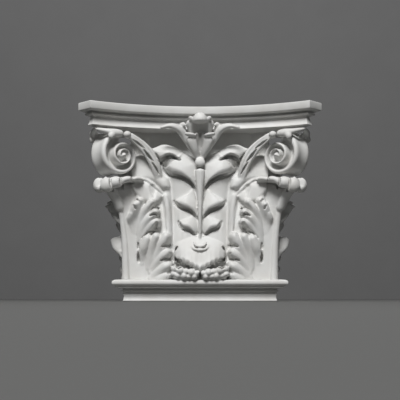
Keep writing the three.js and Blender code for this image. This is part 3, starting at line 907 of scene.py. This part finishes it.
BUD = [[0, -28, 204, 3, 4], [0, -37, 222, 8, 7], [0, -43, 240, 13, 8], [0, -46, 250, 13, 7]]
CUP = [[0, -38, 236, 12, 8], [0, -48, 248, 17, 11], [0, -57, 261, 17, 12], [0, -62, 271, 13, 9]]
bud = strand(BUD, side=SIDEWAYS, steps=36)
cup = strand(CUP, side=SIDEWAYS, steps=36, section=cup_section())
everywhere("bud", bud, side=False, left=False)
everywhere("cup", cup, side=False, left=False)
everywhere("knob", dome((0, -66, 260), (10.8, 13, 12.5), below=0.25), side=False, left=False)

# %% Fleuron's leaves
FLEURON_LEAVES = [
    ("front_leaf", [1, 0, 0.3],
     [[2, -36, 208, 2, 4], [7, -46, 221, 5, 5], [12, -52, 233, 7.5, 5], [14, -55, 241, 7.5, 4]]),
    ("front_tip", UPWARD,
     [[6, -56, 240.5, 2.6, 4], [13, -58.5, 242, 3, 4.5], [22, -57, 243.5, 2.6, 4]]),
    ("cup_rim", [0, 1, 0],
     [[15, -50, 250, 2.5, 3], [17.5, -57, 257, 3, 3.4], [15, -60, 262, 2.5, 3]]),
    ("cup_ear", UPWARD,
     [[10, -60, 260.5, 3, 3], [13, -66, 264.5, 3.2, 3.2], [15, -62, 264, 3, 3]]),
    ("wing", None,
     [[2, -29, 208, 3, 4], [13, -37, 227, 5.5, 5], [23, -45, 242, 6.5, 5], [32, -53, 251.5, 5.6, 6],
      [44, -58, 254.5, 4, 6], [58, -61, 251, 1.8, 4]]),
    ("vein", SIDEWAYS, [[1, -33, 212, 2, 3], [3, -47, 232, 2.4, 3], [5, -56, 246, 3, 3]]),
    ("wing_lobe", None, [[22, -44, 250, 3, 4], [26, -50, 257, 4.5, 4], [21, -54, 258, 3, 3]]),
]
angles = np.linspace(0, 2 * math.pi, 36, endpoint=False)
ribbed = oval(36) * (1 - 0.16 * (0.5 + 0.5 * np.cos(3 * angles)))[:, None]
for name, across, rows in FLEURON_LEAVES:
    everywhere(name, strand(rows, side=across, steps=40, section=ribbed), side=False)

# %% [markdown]
# Melting the shapes together
#
# The casting has no seams. Booleans would leave a hard line wherever two shapes cross. A voxel
# remesh turns all the overlapping shapes into one skin, as plaster would flow over them, and a
# light smoothing takes off the steps.

# %% Melt
VOXEL = 1.0  # millimetres, fine enough for the thinnest rims

for piece in clay:
    piece.select_set(True)
bpy.context.view_layer.objects.active = clay[0]
bpy.ops.object.join()
carving = bpy.context.object
carving.name = "capital_cast"


def finish_with(kind, **settings):
    """Adds a modifier to the active piece and applies it."""
    modifier = bpy.context.object.modifiers.new(kind.lower(), kind)
    for key, value in settings.items():
        setattr(modifier, key, value)
    bpy.ops.object.modifier_apply(modifier=modifier.name)


finish_with("REMESH", mode="VOXEL", voxel_size=VOXEL * MM, adaptivity=0)
finish_with("SMOOTH", factor=0.5, iterations=1)
print("one skin with", len(carving.data.polygons), "faces")

# %% [markdown]
# Engraving
#
# Slots and creases narrower than a few voxels are softened by the remesh, so they are cut after
# it: each point of the skin that a stroke crosses is pushed back. A point on the side is first
# taken to the front by the mirror, so the same strokes serve both faces.

# %% Engrave
ENGRAVED_FROM_Y = -30  # what lies further back is left alone
ENGRAVED = [
    # the drilled eyes beside the lower leaf
    [[33.5, 92, 1.6, 4], [35, 89, 2, 7], [35, 87, 1.6, 4]],
    [[34, 80, 2, 6], [36, 78, 2.6, 10], [38, 76, 2, 8]],
    [[41, 66, 2, 10], [35, 60.5, 3.4, 16], [29, 59, 2.4, 9]],
    [[38, 52, 1.4, 5], [33, 47.5, 1.6, 6], [28, 49, 1.4, 5]],
    # the slots between the helix's ribs and beside the top petal
    [[97, 234, 1, 3], [90, 230, 1.7, 8], [82, 224, 1, 4]],
    [[82, 221, 1, 4], [76, 214, 2.2, 10], [69, 206, 1, 4]],
    [[70, 203, 1, 3], [65, 196, 1.5, 7], [61, 188, 1, 3]],
    [[66, 219, 1.2, 4], [63, 214, 2.6, 10], [59, 209, 1.6, 6]],
    # the creases between the lumps of the roll
    [[130.5, 181, 1.2, 3], [129.5, 172, 1.7, 8], [127.5, 161, 1.4, 6]],
    [[115.5, 180, 1.1, 3], [115, 172, 1.6, 7], [114.5, 166, 1.3, 5]],
    [[146, 180, 1, 3], [145.6, 174, 1.7, 8], [145, 168, 1.2, 4]],
    [[99.5, 180, 1.2, 4], [99.5, 175, 1.8, 6]],
]


def engrave(piece, strokes):
    """Pushes back what the strokes cross on the front, and on the sides by their mirror image."""
    flat = np.empty(3 * len(piece.data.vertices))
    piece.data.vertices.foreach_get("co", flat)
    points = flat.reshape(-1, 3) / MM
    left = points[:, 0] < 0
    points[left, 0] *= -1
    on_side = points[:, 0] + points[:, 1] > DIAGONAL
    points[on_side] = to_side(points[on_side])
    carved = points[:, 1] < ENGRAVED_FROM_Y
    pushed = points[:, 1].copy()
    for rows in strokes:
        d, _, (half, depth), _ = nearest(rows, points[:, 0], points[:, 2])
        pushed += np.where(carved, depth * round_bottom(d, half), 0)
    points[:, 1] = pushed
    points[on_side] = to_side(points[on_side])
    points[left, 0] *= -1
    piece.data.vertices.foreach_set("co", (points * MM).ravel())
    piece.data.update()
    print("engraved over", int(carved.sum()), "points of", len(points))


engrave(carving, ENGRAVED + slots_under(PETAL_EDGES))

# %% [markdown]
# The flat back
#
# The casting is cut flat where it lies against the wall, and the cut is closed. The skin is then
# thinned where it is nearly flat, because a voxel remesh spends as many faces on the plain back as
# on a petal.

# %% Flat back
MOST_TRIANGLES = 160000


def cut_flat(piece, point, normal):
    """Cuts away what lies on the side the normal points to and closes the cut."""
    bpy.context.view_layer.objects.active = piece
    bpy.ops.object.mode_set(mode="EDIT")
    bpy.ops.mesh.select_all(action="SELECT")
    bpy.ops.mesh.bisect(
        plane_co=point, plane_no=normal, use_fill=True, clear_outer=True, clear_inner=False
    )
    bpy.ops.object.mode_set(mode="OBJECT")


cut_flat(carving, (0, (BACK - 1) * MM, 0), (0, 1, 0))
finish_with("DECIMATE", ratio=min(1, MOST_TRIANGLES / (2 * len(carving.data.polygons))))
print("thinned to", len(carving.data.polygons), "faces")

# %% [markdown]
# The abacus
#
# The slab on top has four concave sides with the corners cut off, of which a pilaster shows one
# and parts of two. Its mouldings run all round: a fascia, an ovolo, a groove, a fillet and a
# cavetto that flares out again at the foot. A bevel modifier gives one profile at every edge, and
# this one is a list of mouldings, so the plan is drawn again at each step of the profile.

# %% Abacus
ABACUS_PROFILE = [  # inset, and how far below the top
    [0.8, 0], [0, 0.8], [0, 10.2], [0.4, 10.8], [1.5, 11.4], [4, 12.1], [8, 12.5], [10.5, 12.8],
    [10.5, 14.6], [7.8, 14.9], [7.5, 15.3], [7.5, 17], [7.8, 17.4], [12.6, 17.8], [13.6, 18.8],
    [13.8, 20.4], [13.6, 22.4], [13.1, 24.6], [12.5, 26.8], [11.8, 28.8], [11.2, 30.4], [11, 31.1],
    [11.5, 31.5],
]


def abacus_plan(inset, z, front_steps=96, side_steps=28):
    """The slab's outline at an inset: front, cut-off corner and side, and the wall."""
    centre_y = FRONT_CORNERS_Y - ABACUS_RADIUS * math.cos(math.pi / 6)
    radius = ABACUS_RADIUS + inset
    cut = ABACUS_RADIUS / 2 - FRONT_CORNERS_Y - inset * math.sqrt(2)
    b = cut + centre_y
    tip = (b + math.sqrt(2 * radius**2 - b**2)) / 2

    def arc(x):
        return centre_y + np.sqrt(radius**2 - x**2)

    front_x = np.linspace(-tip, tip, front_steps)
    front = np.stack([front_x, arc(front_x)], axis=1)
    side_x = np.linspace(tip, WALL_X, side_steps)
    right = np.stack([DIAGONAL - arc(side_x), DIAGONAL - side_x], axis=1)
    left = (right * [-1, 1])[::-1]
    plan = np.vstack([front, right, left])
    return np.hstack([plan, np.full((len(plan), 1), z)])


abacus = skin("abacus", [abacus_plan(inset, HEIGHT - down) for inset, down in ABACUS_PROFILE])
print("abacus:", len(abacus.data.polygons), "faces")

# %% [markdown]
# The neck
#
# Below the leaves are a torus, a groove, a fillet and a shallow cavetto. The plan is a plain
# rectangle against the wall with small round corners. It could be extruded and scaled step by
# step. It is skinned over the profile as the abacus is, which keeps the corners equally round.

# %% Neck
NECK_PROFILE = [  # inset, height
    [0.6, 0], [0, 0.6], [0.6, 2], [1.2, 4.5], [1.5, 7.5], [1, 9.5], [1.4, 13.6], [-1.2, 13.8],
    [-1.6, 14.2], [-1.6, 16], [-1.2, 16.4], [0.6, 16.7], [0.6, 19], [-8, 19.3], [-9.4, 19.8],
    [-9.6, 22.4], [-11, 22.8], [-13.2, 23.6], [-14.6, 25], [-15, 27.2], [-14.6, 29.2],
    [-13.2, 30.5], [-10.5, 31.4], [-6, 31.9],
]
CORNER_RADIUS = 1.2


def neck_plan(inset, z, corner_steps=4):
    """The neck's outline at an inset, from the wall round the front to the wall."""
    x, y = HALF_NECK - inset, NECK_FRONT + inset
    a = np.linspace(0, math.pi / 2, corner_steps + 1)
    corner_x = x - CORNER_RADIUS + CORNER_RADIUS * np.sin(a)
    corner_y = y + CORNER_RADIUS - CORNER_RADIUS * np.cos(a)
    right = np.vstack([np.stack([corner_x, corner_y], axis=1), [[x, BACK]]])
    plan = np.vstack([(right * [-1, 1])[::-1], right])
    return np.hstack([plan, np.full((len(plan), 1), z)])


neck = skin("neck", [neck_plan(inset, z) for inset, z in NECK_PROFILE])
print("neck:", len(neck.data.polygons), "faces")

# %% [markdown]
# One casting
#
# The mouldings join the carving as one piece, because the real thing is poured in one go. They
# aren't melted in, which keeps their edges crisp. Shading is smooth except at edges sharper than
# an angle, so that leaves look soft and mouldings keep their lines.

# %% Join
SHARPER_THAN = math.radians(35)

bpy.ops.object.select_all(action="DESELECT")
for piece in (carving, abacus, neck):
    piece.select_set(True)
bpy.context.view_layer.objects.active = carving
bpy.ops.object.join()
capital = bpy.context.object
bpy.ops.object.shade_smooth_by_angle(angle=SHARPER_THAN)
triangles = sum(len(face.vertices) - 2 for face in capital.data.polygons)
print("the casting has", triangles, "triangles")

# %% [markdown]
# Helpers for materials
#
# A material is a few nodes. One helper adds a node with its settings and links, and one turns an
# ordinary hex colour into the linear values that a socket wants.

# %% Material helpers
def linear(hex_colour):
    """A colour for a node's socket from an sRGB hex value."""
    channels = [int(hex_colour[i : i + 2], 16) / 255 for i in (1, 3, 5)]
    return [c / 12.92 if c <= 0.04045 else ((c + 0.055) / 1.055) ** 2.4 for c in channels] + [1]


def add_node(tree, kind, settings=None, **inputs):
    """Adds a node; each input is a value or a socket of another node to link from."""
    node = tree.nodes.new(kind)
    for key, value in (settings or {}).items():
        setattr(node, key, value)
    for key, value in inputs.items():
        socket = node.inputs[key.replace("_", " ")]
        if isinstance(value, bpy.types.NodeSocket):
            tree.links.new(value, socket)
        else:
            socket.default_value = value
    return node


def new_material(name):
    """A material, its node tree and its shader."""
    material = bpy.data.materials.new(name)
    material.use_nodes = True
    shader = material.node_tree.nodes["Principled BSDF"]
    return material, material.node_tree, shader


def per_metre(size):
    """The scale of a pattern whose marks are a number of millimetres apart."""
    return 1000 / size


print("white is", [round(c, 2) for c in linear("#ffffff")])

# %% [markdown]
# The finish
#
# The real thing is rigid foam cast in a rubber mould and sprayed with white primer. To the eye
# that is a matt, faintly warm white. The primer's mist gives a fine grain that breaks up the
# light, the mould leaves soft unevenness over a few centimetres, and the coat is a little glossier
# where it lies thick. The real mist is finer than a pixel, so it is drawn as coarse as shows.

# %% Primed cast
MIST_SIZE = 0.9  # millimetres
SWELL_SIZE = 28
COAT_SIZE = 9
THIN_COAT, THICK_COAT = "#cecdca", "#d5d5d3"

primed, tree, shader = new_material("primed_cast")
place = add_node(tree, "ShaderNodeTexCoord").outputs["Object"]
mist = add_node(
    tree, "ShaderNodeTexNoise", Vector=place, Scale=per_metre(MIST_SIZE), Detail=3.0, Roughness=0.6
)
swells = add_node(
    tree, "ShaderNodeTexNoise", Vector=place, Scale=per_metre(SWELL_SIZE), Detail=2.0, Roughness=0.5
)
coat = add_node(
    tree, "ShaderNodeTexNoise", Vector=place, Scale=per_metre(COAT_SIZE), Detail=2.0, Roughness=0.5
)
cover = add_node(
    tree, "ShaderNodeMapRange", Value=swells.outputs["Fac"], From_Min=0.35, From_Max=0.65
)
white = add_node(
    tree, "ShaderNodeMixRGB",
    Fac=cover.outputs["Result"], Color1=linear(THIN_COAT), Color2=linear(THICK_COAT),
)
thickness = add_node(
    tree, "ShaderNodeMapRange",
    Value=coat.outputs["Fac"], From_Min=0.35, From_Max=0.65, To_Min=0.52, To_Max=0.7,
)
uneven = add_node(
    tree, "ShaderNodeBump", Height=swells.outputs["Fac"], Strength=0.5, Distance=0.0012
)
grainy = add_node(
    tree, "ShaderNodeBump",
    Height=mist.outputs["Fac"], Normal=uneven.outputs["Normal"], Strength=0.35, Distance=0.00012,
)
tree.links.new(white.outputs["Color"], shader.inputs["Base Color"])
tree.links.new(thickness.outputs["Result"], shader.inputs["Roughness"])
tree.links.new(grainy.outputs["Normal"], shader.inputs["Normal"])
shader.inputs["Specular IOR Level"].default_value = 0.4
capital.data.materials.clear()
capital.data.materials.append(primed)
print(primed.name, "has", len(tree.nodes), "nodes")

# %% Tie the casting to the frame
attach(capital, "root")
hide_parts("capital")
print(capital.name, "is shown in place of the frame's plain capital")

# %% [markdown]
# Floor and backdrop
#
# The capital stands on a painted board: pale and dull, with a roller's soft stipple that keeps the
# shadow's edge alive. Behind it hangs a roll of grey paper: quite matt, and faintly cloudy where
# its fibres lie thicker. Both are plain planes, because they aren't part of the object.

# %% Floor
STIPPLE_SIZE = 4

bpy.ops.mesh.primitive_plane_add(size=8, location=(0, 0, -0.0005))
floor = bpy.context.object
floor.name = "floor"
floor_paint, tree, shader = new_material("pale_floor")
place = add_node(tree, "ShaderNodeTexCoord").outputs["Object"]
stipple = add_node(
    tree, "ShaderNodeTexNoise",
    Vector=place, Scale=per_metre(STIPPLE_SIZE), Detail=2.0, Roughness=0.5,
)
rolled = add_node(
    tree, "ShaderNodeBump", Height=stipple.outputs["Fac"], Strength=0.2, Distance=0.0003
)
tree.links.new(rolled.outputs["Normal"], shader.inputs["Normal"])
shader.inputs["Base Color"].default_value = linear("#cfcfcd")
shader.inputs["Roughness"].default_value = 0.85
floor.data.materials.append(floor_paint)
print("floor:", [round(size, 1) for size in floor.dimensions], "m")

# %% Backdrop
FIBRE_SIZE = 120

bpy.ops.mesh.primitive_plane_add(size=8, location=(0, 1.2, 1), rotation=(math.radians(90), 0, 0))
backdrop = bpy.context.object
backdrop.name = "backdrop"
grey_paper, tree, shader = new_material("grey_paper")
place = add_node(tree, "ShaderNodeTexCoord").outputs["Object"]
fibres = add_node(
    tree, "ShaderNodeTexNoise",
    Vector=place, Scale=per_metre(FIBRE_SIZE), Detail=3.0, Roughness=0.6,
)
paper = add_node(
    tree, "ShaderNodeMixRGB",
    Fac=fibres.outputs["Fac"], Color1=linear("#696969"), Color2=linear("#6f6f6f"),
)
tree.links.new(paper.outputs["Color"], shader.inputs["Base Color"])
shader.inputs["Roughness"].default_value = 0.95
backdrop.data.materials.append(grey_paper)
print("backdrop:", round(backdrop.location.y, 1), "m behind the capital")

# %% [markdown]
# Light
#
# One large soft light stands high at the front and a little to the left, which gives every leaf a
# bright upper side and a soft shadow below. A weak one in front opens the shadows. Each light is
# kept to what it is meant for, as a card beside it would, so that the backdrop's grey can be set
# without changing the capital. A faint light behind is for the views from there.

# %% Light
def softbox(name, place, aim, size, power, lights_only):
    """A square soft light whose light falls on some objects alone."""
    bpy.ops.object.light_add(type="AREA", location=place)
    lamp = bpy.context.object
    lamp.name = name
    lamp.data.shape = "SQUARE"
    lamp.data.size = size
    lamp.data.energy = power
    lamp.rotation_euler = (Vector(aim) - Vector(place)).to_track_quat("-Z", "Y").to_euler()
    lit = bpy.data.collections.new(f"lit_by_{name}")
    for piece in lights_only:
        lit.objects.link(piece)
    lamp.light_linking.receiver_collection = lit
    print(f"{name}: {power} W over {size} m")


softbox("key", (-0.385, -2.275, 2.525), (0, 0, 0.18), 1.0, 128, lights_only=[capital])
softbox("front_fill", (0.2, -1.9, 0.2), (0, 0, 0.1), 0.8, 0.8, lights_only=[capital])
softbox("back_light", (0, 1.1, 0.8), (0, 0, 0.15), 0.8, 9, lights_only=[capital])
softbox("wall_light", (0, -1.5, 1.6), (0, 1.2, 0.5), 1.0, 67, lights_only=[backdrop])
softbox("floor_light", (0, -1.0, 1.6), (0, -0.4, 0), 1.5, 7, lights_only=[floor])

world = bpy.context.scene.world or bpy.data.worlds.new("studio")
bpy.context.scene.world = world
world.use_nodes = True
sky = world.node_tree.nodes["Background"]
sky.inputs["Color"].default_value = linear("#b9bcc0")
sky.inputs["Strength"].default_value = 0.04
bpy.context.scene.view_settings.view_transform = "Standard"
